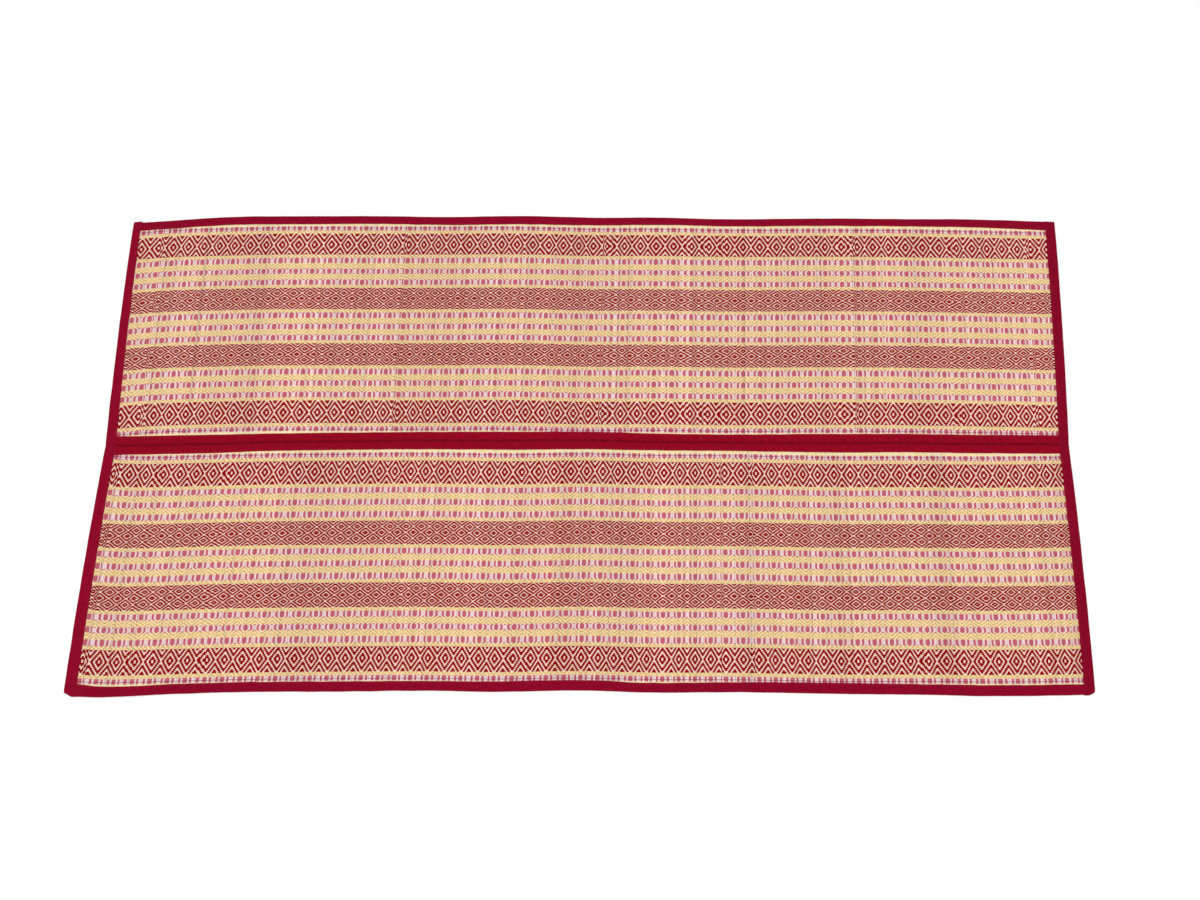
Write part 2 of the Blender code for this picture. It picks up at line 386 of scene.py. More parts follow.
class Wiring:
    """Puts nodes into a tree and joins them up."""

    def __init__(self, tree):
        self.tree = tree

    def node(self, kind, **settings):
        node = self.tree.nodes.new(kind)
        for name, value in settings.items():
            setattr(node, name, value)
        return node

    def feed(self, socket, value):
        if isinstance(value, bpy.types.NodeSocket):
            self.tree.links.new(value, socket)
        else:
            socket.default_value = value

    def math(self, operation, *values):
        node = self.node("ShaderNodeMath", operation=operation)
        for socket, value in zip(node.inputs, values):
            self.feed(socket, value)
        return node.outputs[0]

    add = partialmethod(math, "ADD")
    minus = partialmethod(math, "SUBTRACT")
    times = partialmethod(math, "MULTIPLY")
    ratio = partialmethod(math, "DIVIDE")
    size = partialmethod(math, "ABSOLUTE")
    wrap = partialmethod(math, "FLOORED_MODULO")
    over = partialmethod(math, "GREATER_THAN")
    under = partialmethod(math, "LESS_THAN")

    def between(self, value, low, high):
        """1 where the value is over low and under high."""
        return self.times(self.over(value, low), self.under(value, high))

    def choose(self, share, first, second):
        """The first number where the share is 0 and the second where it is 1."""
        node = self.node("ShaderNodeMix", data_type="FLOAT")
        for index, value in ((0, share), (2, first), (3, second)):
            self.feed(node.inputs[index], value)
        return node.outputs[0]

    def blend(self, share, first, second, how="MIX"):
        """The first colour where the share is 0 and the second where it is 1."""
        node = self.node("ShaderNodeMix", data_type="RGBA", blend_type=how)
        self.feed(node.inputs[0], share)
        for index, colour in ((6, first), (7, second)):
            is_fed = isinstance(colour, bpy.types.NodeSocket)
            self.feed(node.inputs[index], colour if is_fed else (*colour, 1.0))
        return node.outputs[2]

    def tint(self, colour, dye):
        return self.blend(1.0, colour, dye, "MULTIPLY")

    def dim(self, colour, share):
        return self.tint(colour, self.place(share, share, share))

    def stretch(self, value, from_low, from_high, to_low, to_high):
        node = self.node("ShaderNodeMapRange")
        for socket, given in zip(node.inputs, (value, from_low, from_high, to_low, to_high)):
            self.feed(socket, given)
        return node.outputs[0]

    def grain(self, place, scale, detail=2.0):
        node = self.node("ShaderNodeTexNoise")
        for name, value in (("Vector", place), ("Scale", scale), ("Detail", detail)):
            self.feed(node.inputs[name], value)
        return node.outputs["Fac"]

    def long_grain(self, along, across, grains):
        """Noise drawn out one way: grains in a metre along, and across, and detail."""
        place = self.place(self.times(along, grains[0]), self.times(across, grains[1]))
        return self.grain(place, 1.0, grains[2])

    def place(self, x, y, z=0.0):
        node = self.node("ShaderNodeCombineXYZ")
        for socket, value in zip(node.inputs, (x, y, z)):
            self.feed(socket, value)
        return node.outputs[0]

    def map_of(self, name):
        """Both directions of one of the mesh's own maps."""
        split = self.node("ShaderNodeSeparateXYZ")
        self.feed(split.inputs[0], self.node("ShaderNodeUVMap", uv_map=name).outputs[0])
        return split.outputs[0], split.outputs[1]

    def give(self, result, *values):
        """Feed a group's outputs in the order of their names."""
        for socket, value in zip(result, values):
            self.feed(socket, value)

    def told(self, name):
        """A number that the mesh carries."""
        return self.node("ShaderNodeAttribute", attribute_name=name).outputs["Fac"]


def new_group(name, takes, gives):
    """A node group with named numbers in and out."""
    tree = bpy.data.node_groups.new(name, "ShaderNodeTree")
    for in_out, socket_names in (("INPUT", takes), ("OUTPUT", gives)):
        for socket_name in socket_names:
            tree.interface.new_socket(socket_name, in_out=in_out, socket_type="NodeSocketFloat")
    w = Wiring(tree)
    return tree, w, w.node("NodeGroupInput").outputs, w.node("NodeGroupOutput").inputs


def draft_group():
    """The weaving draft: which cells show warp cotton, and of which colour.

    Along the mat a treadle lifts the warp for each stem. Across it every row of
    the warp is threaded a number of shafts further on, and a cell is cotton where
    treadle and shaft together come to 1 or 2 out of 4. Between two stems the
    cotton of the diamonds swells over the edge of a bare stem beside it.
    """
    takes = ("Row", "Treadle", "Beside", "Gap")
    gives = ("Cotton", "Rose", "Yellow", "Selvedge", "Dark warp")
    tree, w, given, result = new_group("Weaving draft", takes, gives)
    row = w.ratio(given["Row"], MM)
    from_middle = w.minus(row, ROWS_SPAN / 2)
    out = w.size(from_middle)
    half = GROUP_REPEAT / 2
    wrapped = w.wrap(w.add(from_middle, half), GROUP_REPEAT)
    signed = w.minus(wrapped, half)
    in_group = w.size(signed)
    in_band = w.minus(half, in_group)

    band = w.over(in_group, THIN_END)
    thin = w.between(in_group, DASH_END, THIN_END)
    chevron = w.between(in_group, MIDDLE_DASH_HALF, CHEVRON_END)
    yellow = w.add(thin, chevron)
    rose = w.minus(1.0, w.add(band, yellow))

    # Large diamonds stand a little nearer the fold than the middle of their band.
    outward = w.under(signed, 0.0)
    shift = w.choose(outward, -LARGE_MIDDLE_SHIFT, LARGE_MIDDLE_SHIFT)
    from_large = w.size(w.add(in_band, shift))
    large_shaft = w.minus(w.ratio(from_large, LARGE_STEP), 0.5)
    band_half = half - THIN_END
    part = w.size(w.minus(1.0, w.ratio(in_band, band_half / 2)))
    small_shaft = w.times(part, SMALL_STEPS)
    large = w.over(out, GROUP_REPEAT)
    band_shaft = w.choose(large, small_shaft, large_shaft)
    start = w.choose(w.over(signed, 0.0), CHEVRON_END, -MIDDLE_DASH_HALF)
    from_start = w.ratio(w.add(signed, start), TWILL_STEP)
    twill_shaft = w.add(from_start, TWILL_START)

    # The last warp end of a dash row is threaded one shaft further on, and in the
    # middle row of the outermost group the first one too.
    last = w.between(signed, MIDDLE_DASH_HALF - WARP_END, MIDDLE_DASH_HALF)
    for rim in (DASH_END, -CHEVRON_END):
        last = w.add(last, w.between(signed, rim - WARP_END, rim))
    first = w.between(signed, -MIDDLE_DASH_HALF, WARP_END - MIDDLE_DASH_HALF)
    first = w.times(first, w.over(from_middle, GROUP_REPEAT / 2))
    dash_shaft = w.add(1.0, w.add(last, first))

    shaft = w.choose(band, w.choose(yellow, dash_shaft, twill_shaft), band_shaft)
    swell = w.times(band, w.choose(large, SMALL_SWELL, LARGE_SWELL))

    def lifted_over(treadle):
        place = w.add(w.add(given[treadle], shaft), swell)
        lifted = w.wrap(place, SHAFTS)
        return w.between(lifted, COTTON_FROM, w.add(COTTON_TO, w.times(swell, 2.0)))

    in_reach = w.over(given["Gap"], w.choose(band, PLAIN_REACH, BAND_REACH))
    beside = w.times(lifted_over("Beside"), in_reach)
    cotton = w.math("MAXIMUM", lifted_over("Treadle"), beside)
    selvedge = w.over(out, SELVEDGE_FROM)
    from_dark = w.size(w.minus(out, DARK_WARP_AT))
    dark = w.under(from_dark, DARK_WARP_HALF)
    w.give(result, cotton, rose, yellow, selvedge, dark)
    return tree


def yarn_group():
    """Close detail of the weave: warp yarns side by side, and streaks along the stems."""
    takes, gives = ("Along", "Row", "Cotton"), ("Height", "Streak", "Dye")
    tree, w, given, result = new_group("Yarns and stems", takes, gives)
    along, row = given["Along"], given["Row"]
    turns = w.ratio(row, YARN_PITCH)
    yarn = w.size(w.math("SINE", w.times(turns, math.pi)))
    streak = w.long_grain(along, row, STREAK_GRAIN)
    dye = w.long_grain(along, row, DYE_GRAIN)
    stem = w.add(w.times(streak, 0.6), 0.5)
    height = w.choose(given["Cotton"], stem, yarn)
    w.give(result, height, streak, w.stretch(dye, 0.33, 0.67, 0.0, 1.0))
    return tree


def cloth_group():
    """Plain-woven cotton: crossing threads, slubs, mottled dye and ribs felt through it."""
    takes, gives = ("Along", "Across"), ("Height", "Mottle", "Ribs", "Slub")
    tree, w, given, result = new_group("Cotton cloth", takes, gives)
    along, across = given["Along"], given["Across"]

    def waves(value, pitch):
        return w.math("SINE", w.times(w.ratio(value, pitch), math.tau))

    crossing = w.times(waves(along, THREAD_PITCH), waves(across, THREAD_PITCH))
    mottle = w.long_grain(along, across, MOTTLE_GRAIN)
    slub = w.long_grain(along, across, SLUB_GRAIN)
    drift = w.times(w.grain(w.place(along, across), 34.0), RIB_DRIFT)
    ribs = waves(w.add(along, drift), RIB_PITCH)
    w.give(result, crossing, mottle, ribs, slub)
    return tree


def place_group(w, name, build, **values):
    """Put a shared group into a material, and give it its values by socket name."""
    tree = bpy.data.node_groups.get(name) or build()
    node = w.node("ShaderNodeGroup", node_tree=tree)
    for key, value in values.items():
        w.feed(node.inputs[key], value)
    return node.outputs


def blank_material(name, roughness):
    material = bpy.data.materials.new(name)
    material.use_nodes = True
    w = Wiring(material.node_tree)
    shader = material.node_tree.nodes["Principled BSDF"]
    shader.inputs["Roughness"].default_value = roughness
    shader.inputs["Specular IOR Level"].default_value = 0.06
    return material, w, shader


def emboss(w, shader, height, strength, distance):
    """Raise and sink the surface a little by a height."""
    bump = w.node("ShaderNodeBump")
    bump.inputs["Strength"].default_value = strength
    bump.inputs["Distance"].default_value = distance
    w.feed(bump.inputs["Height"], height)
    w.feed(shader.inputs["Normal"], bump.outputs[0])


def woven_material(name, settings):
    """Grass stems and dyed cotton, cell by cell from the weaving draft."""
    material, w, shader = blank_material(name, 0.72)
    along, row = w.map_of("weave")
    stem, gap = w.told("stem"), w.told("gap")
    beaten = w.stretch(stem, 0.0, 1.0, -STEM_SLIP, STEM_SLIP)
    kind = place_group(
        w,
        "Weaving draft",
        draft_group,
        Row=w.add(row, beaten),
        Treadle=w.told("treadle"),
        Beside=w.told("beside"),
        Gap=gap,
    )
    in_cotton = kind["Cotton"]
    detail = place_group(w, "Yarns and stems", yarn_group, Along=along, Row=row, Cotton=in_cotton)
    streak = detail["Streak"]

    cotton = w.blend(kind["Rose"], settings.red, settings.rose)
    cotton = w.blend(kind["Yellow"], cotton, settings.yellow)
    cotton = w.dim(cotton, w.stretch(streak, 0.3, 0.7, 0.86, 1.12))

    grass = w.blend(stem, settings.stem_pale, settings.stem_tan)
    tint = w.blend(kind["Rose"], settings.stem_in_red, settings.stem_in_rose)
    grass = w.tint(grass, w.blend(kind["Yellow"], tint, settings.stem_in_yellow))
    grass = w.dim(grass, w.stretch(streak, 0.3, 0.75, 0.90, 1.08))

    colour = w.blend(in_cotton, grass, cotton)
    colour = w.blend(w.times(kind["Dark warp"], 0.75), colour, settings.dark)
    edge = w.blend(w.times(stem, 0.5), settings.selvedge, settings.stem_pale)
    colour = w.blend(kind["Selvedge"], colour, edge)
    colour = w.tint(colour, w.blend(detail["Dye"], DYE_WARM, DYE_COOL))
    # Painted shade in the dips between stems, times how bright each stem is.
    shade = w.minus(1.0, w.times(w.math("POWER", gap, 3.0), GAP_SHADE))
    colour = w.dim(colour, w.times(shade, w.told("stem_brightness")))
    w.feed(shader.inputs["Base Color"], colour)
    w.feed(shader.inputs["Roughness"], w.choose(in_cotton, 0.58, 0.86))
    emboss(w, shader, detail["Height"], strength=0.30, distance=0.00022)
    return material


def cloth_material(name, colour, painted_rib_shade):
    """Crimson cotton cloth over the stems' ribs, a little mottled and rubbed, with painted light
    and shade across the ribs and painted shade along the creases.
    """
    material, w, shader = blank_material(name, 0.88)
    along, across = w.map_of("cloth")
    cloth = place_group(w, "Cotton cloth", cloth_group, Along=along, Across=across)
    mottle, ribs, slub = cloth["Mottle"], cloth["Ribs"], cloth["Slub"]
    shade = w.stretch(mottle, 0.25, 0.75, 0.84, 1.16)
    shade = w.times(shade, w.stretch(slub, 0.3, 0.7, 0.92, 1.08))
    # Painted light and shade across the stems' ribs.
    shade = w.times(shade, w.stretch(ribs, -1.0, 1.0, 1.0 - painted_rib_shade, 1.0 + painted_rib_shade))
    # Painted shade along the creases.
    shade = w.times(shade, w.minus(1.0, w.told("crease")))
    rubbed_pink = seen(205, 90, 120)
    rubbed = w.stretch(slub, 0.55, 0.8, 0.0, 0.12)
    w.feed(shader.inputs["Base Color"], w.blend(rubbed, w.dim(colour, shade), rubbed_pink))
    height = w.add(w.times(cloth["Height"], 0.25), w.times(ribs, 0.35))
    height = w.add(height, w.times(mottle, 1.2))
    emboss(w, shader, height, strength=0.5, distance=0.0003)
    return material


def yarn_material(name, colour):
    """Twisted cotton yarn."""
    material, w, shader = blank_material(name, 0.8)
    twist = w.grain(w.node("ShaderNodeTexCoord").outputs["Object"], 1400.0)
    w.feed(shader.inputs["Base Color"], w.dim(colour, w.stretch(twist, 0.3, 0.7, 0.75, 1.2)))
    emboss(w, shader, twist, strength=0.5, distance=0.0001)
    return material


def mesh_from(bm, name):
    mesh = bpy.data.meshes.new(name)
    bm.to_mesh(mesh)
    bm.free()
    return mesh


def put_in_scene(name, data):
    thing = bpy.data.objects.new(name, data)
    bpy.context.scene.collection.objects.link(thing)
    return thing


def new_piece(name, bm, material):
    piece = put_in_scene(name, mesh_from(bm, name))
    piece.data.materials.append(material)
    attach(piece, "root")
    return piece


def new_layers(layers, *names):
    """Numbers that a mesh carries, by name."""
    for name in names:
        layers.new(name)
    return [layers[name] for name in names]


def stems_of(panel, settings):
    """Each stem of a panel, left to right: where its middle is and its treadle.

    The weaver treadles up to the last shaft and back again, and treads the first
    and the last one twice. The count of stems changes only where a half repeat
    came out much too short or too long.
    """
    luck = random.Random(panel.seed)
    places = spaced(-END, END, 400)
    repeats = [lie_at(x, panel.repeat) for x in places]
    beyond = 0.1
    per_metre = (repeats[-1] - repeats[0]) / (2 * END)
    places = [-END - beyond, *places, END + beyond]
    repeats = [repeats[0] - beyond * per_metre, *repeats, repeats[-1] + beyond * per_metre]
    first = math.floor(2 * repeats[1]) - 1
    last = math.ceil(2 * repeats[-2]) + 1
    turns = []
    for turn in range(first, last + 1):
        well_woven = luck.random() > MISS_CHANCE
        wrong = luck.gauss(0, TURN_SLIP) if well_woven else luck.uniform(-MISSED, MISSED)
        turns.append((turn % 2, float(np.interp(turn / 2 + wrong, repeats, places))))
    stems = []
    for (_, start), (rising, stop) in zip(turns, turns[1:]):
        wanted = (stop - start) / settings.stem_pitch
        count = TREADLES + 1 if abs(wanted - TREADLES - 1) < COUNT_SLACK else round(wanted)
        for i in range(count):
            treadle = round(TREADLES * i / (count - 1))
            if not rising:
                treadle = TREADLES - treadle
            aside = luck.uniform(-STEM_ASIDE, STEM_ASIDE)
            middle = start + (stop - start) * (i + 0.5 + aside) / count
            stems.append((middle, treadle))
    edge = END - PANEL_INSET
    return [stem for stem in stems if abs(stem[0]) < edge - settings.stem_pitch / 2]


def row_stations():
    """Rows of the mesh across a panel, in millimetres from the thin row at the fold."""
    inner = [-14.0, -9.0, -4.0, 8.0] + spaced(24.0, ROWS_SPAN - 24.0, 13)
    inner += [ROWS_SPAN - 8.0, ROWS_SPAN + 4.0, ROWS_SPAN + 9.0, ROWS_SPAN + 14.0]
    return [-30.0] + inner + [ROWS_SPAN + 30.0]


def panel_point(panel, x, row, is_edge):
    """Where a stem at x crosses a row, and how far across the straight mat that is."""
    straight = panel.side * (panel.first_row + row * MM * panel.row_scale)
    column = panel.rows
    if is_edge:
        at_fold = row < 0
        straight = panel.side * (FOLD_CLEAR if at_fold else SIDE - PANEL_INSET)
        column = "fold" if at_fold else panel.edge
    strip = END_STRIPS[0] if x < 0 else END_STRIPS[1]
    y = straight + lie_at(x, column) * MM + corner_cut(strip, END - abs(x), straight)
    return x * (1 - draw_in(straight)), y - MIDDLE, straight


def rim_share(x, straight):
    """1 on the rims, which lie on the strips' lower cloth, and 0 on the flat of the mat."""
    in_from_end = END - abs(x)
    in_from_side = min(abs(straight), SIDE - abs(straight))
    at_end = ease((RIM_AT_END - in_from_end) / RIM_RISE)
    return max(at_end, ease((RIM_AT_SIDE - in_from_side) / RIM_RISE))


def corner_pinch(x, straight):
    """How thin the sheet is pressed at its corners, inside the strips' closed tips."""
    at_end = ease((PINCH_AT_END - (END - abs(x))) / PINCH_RISE)
    at_side = ease(1 - (SIDE - abs(straight)) / PINCH_AT_SIDE)
    return 1 - PINCH * at_end * at_side


def lay_for_baking(bm, along_layer, across_layer, stacks, top_share, is_top):
    """A map that stacks lengths of a long sheet, so that a square picture holds them finely."""
    picture = bm.loops.layers.uv.new("OFBake")
    lengths = [vert[along_layer] for vert in bm.verts]
    widths = [vert[across_layer] for vert in bm.verts]
    low, span = min(lengths), max(lengths) - min(lengths)
    base, width = min(widths), max(widths) - min(widths)
    margin = 0.004
    end_margin = margin * 3
    stack_length = span / stacks
    for face in bm.faces:
        middle = sum(vert[along_layer] for vert in face.verts) / len(face.verts)
        stacked = min(int((middle - low) / stack_length), stacks - 1)
        upper = is_top(face)
        share = top_share if upper else 1 - top_share
        start = (0.0 if upper else top_share) + share * stacked / stacks
        height = share / stacks
        for loop in face.loops:
            u = (loop.vert[along_layer] - low - stacked * stack_length) / stack_length
            v = (loop.vert[across_layer] - base) / width
            u = end_margin + u * (1 - 2 * end_margin)
            v = start + margin + v * (height - 2 * margin)
            loop[picture].uv = (u, v)


def stem_looks(stems, panel):
    """How ripe each stem is, and how bright, with broad patches along the mat a little lighter or
    darker.
    """
    luck = random.Random(panel.seed + 100)
    tones, stem_brightnesses = [], []
    for x, _ in stems:
        dull = luck.random() < DULL_CHANCE
        tones.append(min(max(luck.gauss(*RIPENESS), 0.0), 1.0))
        # Broad patches along the mat are a little lighter or darker.
        patch = 1.0 + wander(x, panel.seed, size=0.05, length=0.06)
        stem_brightnesses.append(patch * luck.uniform(*(DULL_STEM if dull else BRIGHT_STEM)))
    return tones, stem_brightnesses


def weave_panel(panel, settings):
    """Weave one panel: a closed sheet with a rib for every stem."""
    stems = stems_of(panel, settings)
    tones, stem_brightnesses = stem_looks(stems, panel)
    edge = END - PANEL_INSET
    middles = [x for x, _ in stems]
    borders = [-edge] + [(a + b) / 2 for a, b in zip(middles, middles[1:])] + [edge]
    columns = []
    for border, middle in zip(borders, middles):
        columns += [(border, 1.0), (middle, 0.0)]
    columns.append((borders[-1], 1.0))
    rows = row_stations()
    last_column, last_row = len(columns) - 1, len(rows) - 1

    bm = bmesh.new()
    bmesh.ops.create_grid(bm, x_segments=last_column, y_segments=last_row, size=0.5)
    verts, faces = bm.verts.layers.float, bm.faces.layers.float
    along, row_layer, gap, thick = new_layers(verts, "along", "row", "gap", "thick")
    treadle, beside, stem_tone, stem_brightness = new_layers(faces, "treadle", "beside", "stem", "stem_brightness")
    for face in bm.faces:
        middle = sum(vert.co.x for vert in face.verts) / len(face.verts)
        half_stem = int((middle + 0.5) * last_column)
        index = min(half_stem // 2, len(stems) - 1)
        other = index + (1 if half_stem % 2 else -1)
        face[treadle] = stems[index][1]
        face[beside] = stems[min(max(other, 0), len(stems) - 1)][1]
        face[stem_tone] = tones[index]
        face[stem_brightness] = stem_brightnesses[index]
        face.smooth = True
    for vert in bm.verts:
        straight_x, between = columns[round((vert.co.x + 0.5) * last_column)]
        row = round((vert.co.y + 0.5) * last_row)
        x, y, straight = panel_point(panel, straight_x, rows[row], row in (0, last_row))
        pinch = corner_pinch(straight_x, straight)
        dip = settings.stem_groove * between
        lift = settings.rim_lift * rim_share(straight_x, straight) * pinch
        vert.co = (x, y, lift + dip)
        vert[along] = straight_x
        vert[row_layer] = rows[row] * MM
        vert[gap] = between
        vert[thick] = settings.thickness * pinch - 2 * dip
    made = bmesh.ops.extrude_face_region(bm, geom=bm.faces[:], use_keep_orig=True)["geom"]
    uppers = {item for item in made if isinstance(item, bmesh.types.BMFace)}
    for vert in [item for item in made if isinstance(item, bmesh.types.BMVert)]:
        vert.co.z += vert[thick]
    weave_map = bm.loops.layers.uv.new("weave")
    for face in bm.faces:
        if face not in uppers:
            face[treadle] += SHAFTS / 2
            face[beside] += SHAFTS / 2
        for loop in face.loops:
            loop[weave_map].uv = (loop.vert[along], loop.vert[row_layer])
    bmesh.ops.recalc_face_normals(bm, faces=bm.faces)
    lay_for_baking(bm, along, row_layer, 2, 0.72, lambda face: face in uppers)
    sheet = new_piece(panel.name + "_weave", bm, woven_material(panel.name + " weave", settings))
    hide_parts(panel.name)


def sag_height(cloth):
    """How high the upper cloth lies between its hem and its fold."""
    return cloth.height - cloth.thickness / 2 - cloth.thickness * SAG


def hem_top(edge, cloth):
    """The top of an upper hem: distances and heights from its rim to past its inner end."""
    skin = cloth.thickness / 2
    top = cloth.height - skin
    seam = edge - cloth.stitch_inset
    inner = edge - cloth.hem
    return [
        (edge - HEM_TURN, top - skin * 0.4),
        (edge - HEM_ROUND, top),
        (seam + SEAM_HALF, top - SEAM_LIP),
        (seam, top - SEAM_DEPTH),
        (seam - SEAM_HALF, top - SEAM_LIP),
        (inner + 0.0004, top - 0.00008),
        (inner - 0.0010, sag_height(cloth)),
    ]


def sewn_section(width, cloth):
    """A strip folded round an edge: distance in from its outer fold, and height.

    It runs from the upper hem, out along the top, round the fold, and back in
    along the underside to the lower hem. The seam presses a groove into the top.
    """
    skin = cloth.thickness / 2
    top = cloth.height - skin
    under_hem = top - cloth.thickness - LAYER_GAP
    over_hem = skin + cloth.thickness + LAYER_GAP
    middle = cloth.height / 2
    return [
        (width - cloth.hem, under_hem),
        (width - HEM_ROUND, under_hem),
        (width - HEM_TURN, under_hem + skin * 0.5),
        (width, (top + under_hem) / 2),
        *hem_top(width, cloth),
        (0.0042, sag_height(cloth)),
        (0.0026, top - 0.00012),
        (0.0014, top - 0.00024),
        (0.0006, middle + 0.0011),
        (skin, middle),
        (0.0006, middle - 0.0011),
        (0.0014, skin + 0.00024),
        (0.0026, skin),
        (width * 0.5, skin),
        (width - HEM_ROUND, skin),
        (width - HEM_TURN, skin * 1.4),
        (width, (skin + over_hem) / 2),
        (width - HEM_TURN, over_hem - skin * 0.4),
        (width - HEM_ROUND, over_hem),
        (width - cloth.hem, over_hem),
    ]


def puffed(z, inward, puff, cloth):
    """The height of a folded strip's point, with its upper cloth standing up unevenly."""
    return z + puff * min(inward / PUFF_FROM, 1.0) if z > cloth.height / 2 else z


def lay_strip(name, stations, section_at, material, cloth, stacks, caps=False):
    """A strip of cloth from its sections. Each section point is x, y, z and the painted shade of
    its crease.
    """
    sections = [section_at(station) for station in stations]
    last_station, last_point = len(stations) - 1, len(sections[0]) - 1
    bm = bmesh.new()
    bmesh.ops.create_grid(bm, x_segments=last_station, y_segments=last_point, size=0.5)
    along, across, crease = new_layers(bm.verts.layers.float, "along", "across", "crease")
    halfway = [Vector(point[:3]) for point in sections[len(sections) // 2]]
    run = [0.0]
    for a, b in zip(halfway, halfway[1:]):
        run.append(run[-1] + (a - b).length)
    for vert in bm.verts:
        station = round((vert.co.x + 0.5) * last_station)
        index = round((vert.co.y + 0.5) * last_point)
        x, y, z, dark = sections[station][index]
        vert.co = (x, y, z)
        # Painted shade along the crease.
        vert[crease] = dark
        vert[along] = stations[station]
        vert[across] = run[index]
    if caps:
        close_ends(bm, along, across, stations)
    cloth_map = bm.loops.layers.uv.new("cloth")
    for face in bm.faces:
        face.smooth = True
        for loop in face.loops:
            loop[cloth_map].uv = (loop.vert[along], loop.vert[across])
    bmesh.ops.recalc_face_normals(bm, faces=bm.faces)
    lay_for_baking(bm, along, across, stacks, 1.0, lambda face: True)
    strip = new_piece(name, bm, material)
    solid = strip.modifiers.new("Cloth thickness", "SOLIDIFY")
    solid.thickness = cloth.thickness
    solid.offset = 0.0
    return strip


def close_ends(bm, along, across, stations):
    """Tuck the cloth in at both ends of a folded strip, so that its tips are closed."""
    for station in (stations[0], stations[-1]):
        tip = [vert for vert in bm.verts if abs(vert[along] - station) < 1e-7]
        tip.sort(key=lambda vert: vert[across])
        for i in range(len(tip) // 2 - 1):
            bm.faces.new((tip[i], tip[i + 1], tip[-2 - i], tip[-1 - i]))


def edge_strip_section(x, side, column, cloth, seed):
    """One section of the cloth round a long edge, a little uneven as it was sewn."""
    width = lie_at(x, column) * MM + wander(x, seed, size=0.00035, length=0.021)
    outer = wander(x, seed + 1, size=0.0003, length=0.034)
    puff = wander(x, seed + 2, size=0.00012, length=0.013)
    points = []
    for inward, z in sewn_section(width, cloth):
        across = side * (SIDE - inward + outer * (1 - inward / width))
        points.append((*lay(x, across), puffed(z, inward, puff, cloth), 0.0))
    return points


def sew_edge_strip(name, side, column, cloth, seed):
    start, stop = between_ends(side * SIDE, -TUCKED)
    strip = lay_strip(
        name + "_cloth",
        spaced(start, stop, LONG_STEPS),
        lambda x: edge_strip_section(x, side, column, cloth, seed),
        cloth_material(name + " cloth", cloth.crimson, 0.03),
        cloth,
        6,
    )
    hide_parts(name)


def end_strip_section(strip, y, cloth, seed):
    """One section of the cloth round the panels' ends, creased where the mat folds, with painted
    shade along the crease.
    """
    width = end_cloth_width(strip, y) + wander(y, seed, size=0.0003, length=0.023)
    outer = wander(y, seed + 1, size=0.0003, length=0.031)
    puff = wander(y, seed + 2, size=0.00012, length=0.014)
    near, far = strip_tips(strip)
    tip_gap = min(abs(far - y), abs(y - near))
    squeeze = 1 - TIP_PRESS * ease(1 - tip_gap / TIP_REACH) - END_PRESS * bell(y, END_CREASE)
    # Painted shade along the fold's crease across the strip.
    shade = END_CREASE_SHADE * bell(y, END_SHADE_WIDTH)
    points = []
    for inward, z in sewn_section(width, cloth):
        out = END - inward + outer * (1 - inward / width)
        place = lay(strip.side * out, y + corner_cut(strip, inward, y))
        points.append((*place, puffed(z, inward, puff, cloth) * squeeze, shade))
    return points


def sew_end_strip(strip, cloth, seed):
    near, far = strip_tips(strip)
    places = (near, near + CUT_REACH, -0.006, 0.006, far - 0.009, far)
    stations = []
    for start, stop, steps in zip(places, places[1:], (10, 96, 12, 96, 8)):
        stations += spaced(start, stop, steps)[:-1]
    stations.append(far)
    # The crimson is painted lighter on the left strip, as painted sheen, and darker on the right,
    # as painted shade.
    painted_light_crimson = [share * strip.dye for share in cloth.crimson]
    piece = lay_strip(
        strip.name + "_cloth",
        stations,
        lambda y: end_strip_section(strip, y, cloth, seed),
        cloth_material(strip.name + " cloth", painted_light_crimson, 0.0),
        cloth,
        4,
        caps=True,
    )
    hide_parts(strip.name)


def fold_profile(half, cloth, upper):
    """Half of the fold strip's section, from its hem to the crease."""
    skin = cloth.thickness / 2
    top = cloth.height - skin
    hem_gap = cloth.thickness + LAYER_GAP
    if not upper:
        return [
            (half - cloth.hem, skin + hem_gap),
            (half - HEM_ROUND, skin + hem_gap),
            (half, skin + hem_gap / 2),
            (half - HEM_ROUND, skin),
            (half * 0.5, skin),
            (0.0012, skin),
        ]
    sag = sag_height(cloth)
    return [
        (half - cloth.hem, top - hem_gap),
        (half - HEM_ROUND, top - hem_gap),
        (half - HEM_TURN, top - hem_gap * 0.8),
        (half, top - hem_gap / 2),
        *hem_top(half, cloth),
        (0.0052, sag + 0.00016),
        (0.0034, sag + 0.00012),
        (0.0021, sag - 0.00006),
        (0.0012, sag - 0.00055),
        (0.0006, sag - 0.00105),
    ]


def fold_strip_section(x, cloth, upper, seed):
    """One section of the fold strip's upper or lower cloth, with its crease in the middle and
    painted shade beside and in the crease on the upper cloth.
    """
    half = lie_at(x, "fold_cloth") * MM / 2
    aside = wander(x, seed + 5, size=0.0005, length=0.045)
    halves = []
    for i, side in enumerate((1, -1)):
        puff = wander(x, seed + i, size=0.00014, length=0.012)
        extra = wander(x, seed + 2 + i, size=0.0003, length=0.025)
        points = []
        for out, z in fold_profile(half + extra, cloth, upper):
            near_crease = bell(out, FOLD_CREASE)
            if upper:
                z += puff * (1 - near_crease)
            place = lay(x, side * out + aside * near_crease)
            # Painted shade beside the crease, on the upper cloth only.
            points.append((*place, z, FOLD_SHADE * near_crease if upper else 0.0))
        halves.append(points)
    z, shade = cloth.thickness / 2, 0.0
    if upper:
        # Painted shade in the crease.
        z, shade = cloth.height - cloth.thickness * SAG - CREASE_DEPTH, CREASE_SHADE
    return halves[0] + [(*lay(x, aside), z, shade)] + halves[1][::-1]


